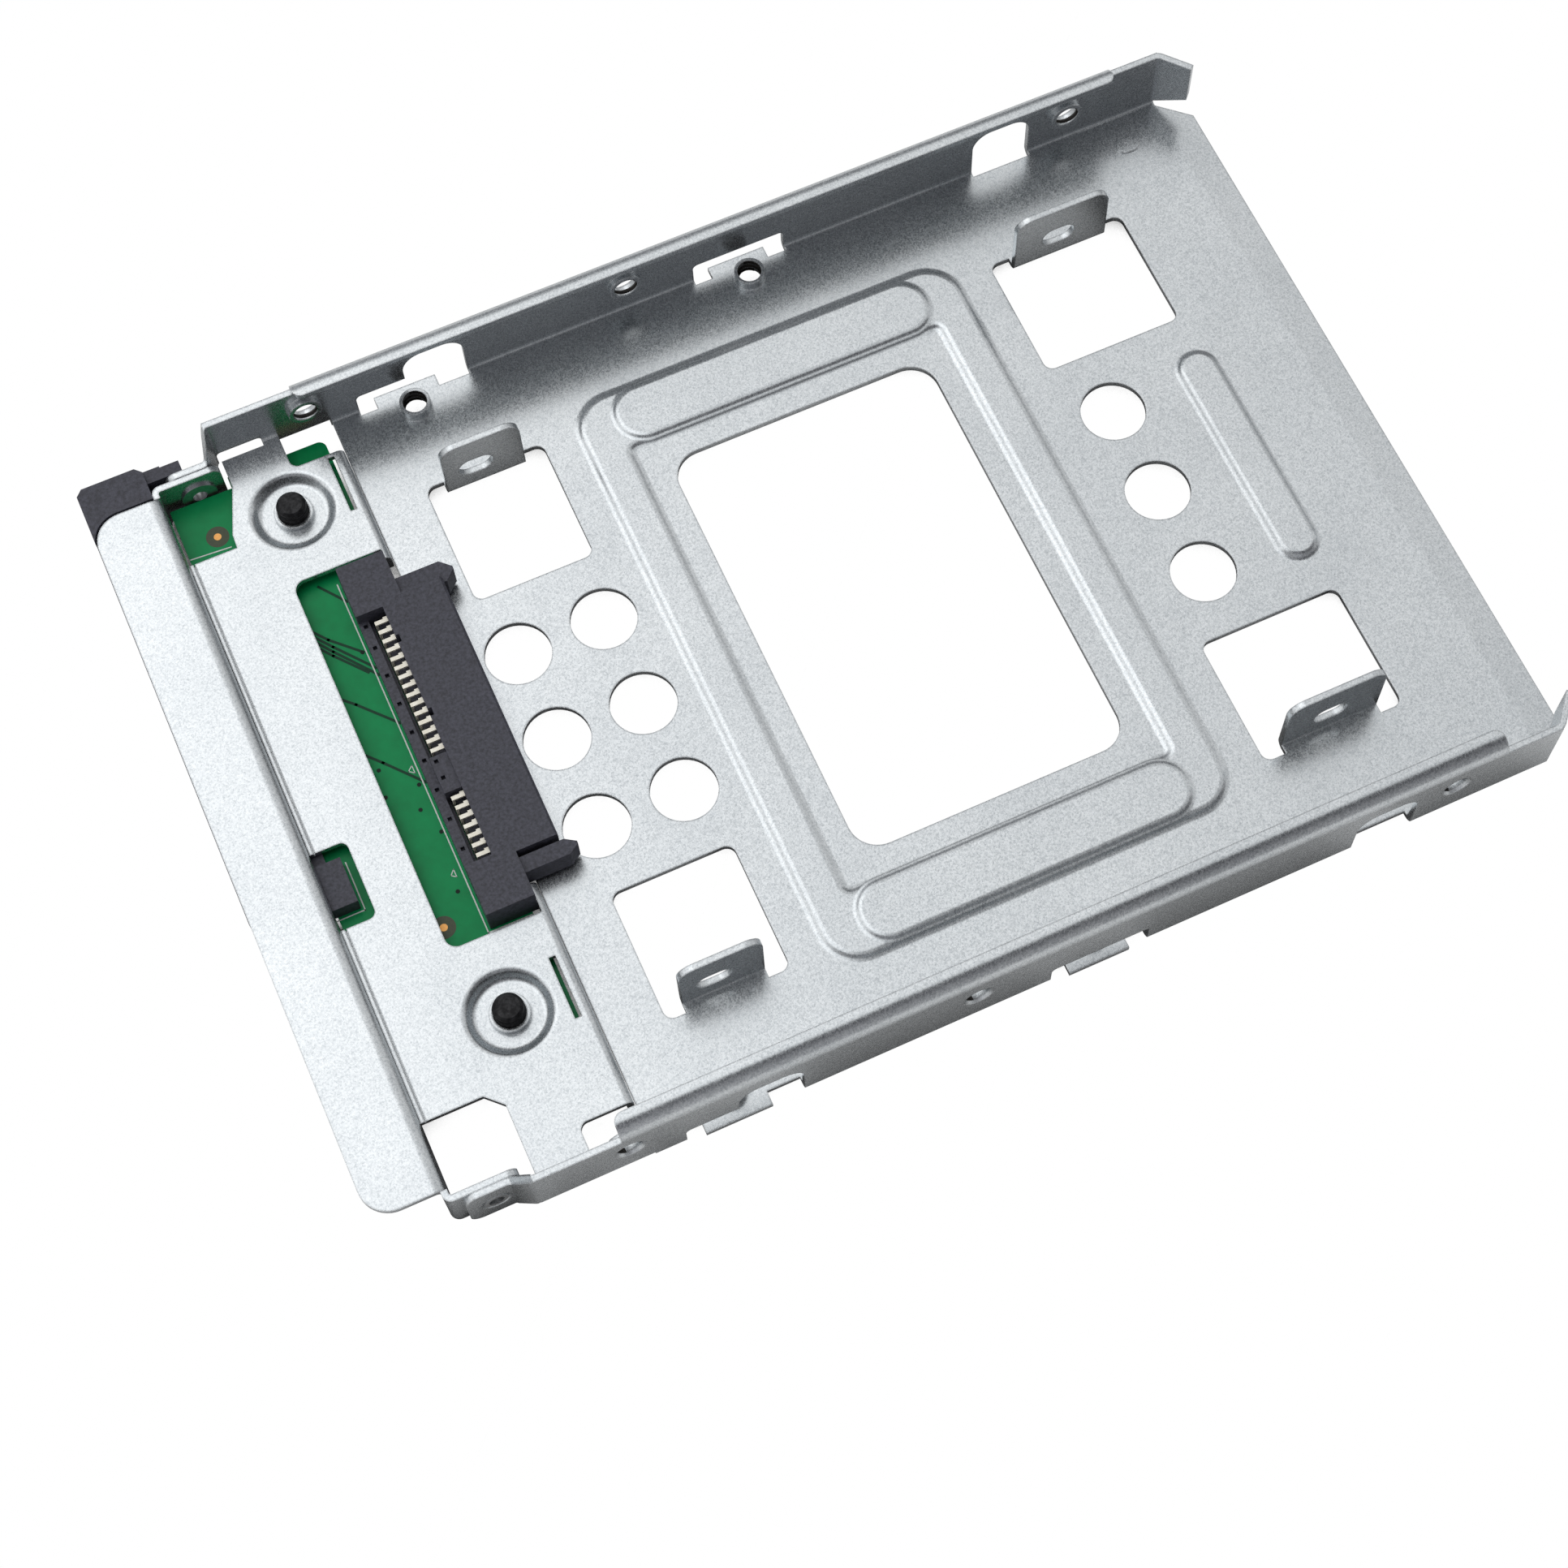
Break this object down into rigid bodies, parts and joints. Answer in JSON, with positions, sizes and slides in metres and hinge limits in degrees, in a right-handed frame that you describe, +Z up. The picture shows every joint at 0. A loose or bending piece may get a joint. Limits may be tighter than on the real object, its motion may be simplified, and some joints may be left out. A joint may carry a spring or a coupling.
{
  "type": "drive bay adapter bracket",
  "caption": "Folded galvanised tray that mounts a small drive in a large drive's bay, with a circuit board joining its receptacle to a rear plug.",
  "frame": {"origin": "centre of the box at the lowest edge, under the middle of the tray", "axes": "+X from the connector end to the open end, +Y across the tray towards the wall beside the plug, +Z up out of the tray"},
  "size_m": [0.1472, 0.102, 0.0144],
  "materials": {
    "galvanised_tray": "zinc spangle, satin",
    "galvanised_hood": "zinc spangle, satin",
    "eyelet_steel": "plain, slightly dull",
    "board_green": "solder mask over glass laminate",
    "socket_plastic": "moulded, satin",
    "plug_plastic": "moulded, satin",
    "contact_plating": "plated",
    "black_screw": "black oxide"
  },
  "bodies": {
    "root": {"tray": "galvanised_tray", "front_hood": "galvanised_hood", "rivets": "eyelet_steel", "circuit_board": "board_green", "drive_receptacle": "socket_plastic", "receptacle_power_contacts": "contact_plating", "receptacle_signal_contacts": "contact_plating", "host_plug": "plug_plastic", "plug_power_contacts": "contact_plating", "plug_signal_contacts": "contact_plating", "board_screws": "black_screw"}
  },
  "joints": []
}
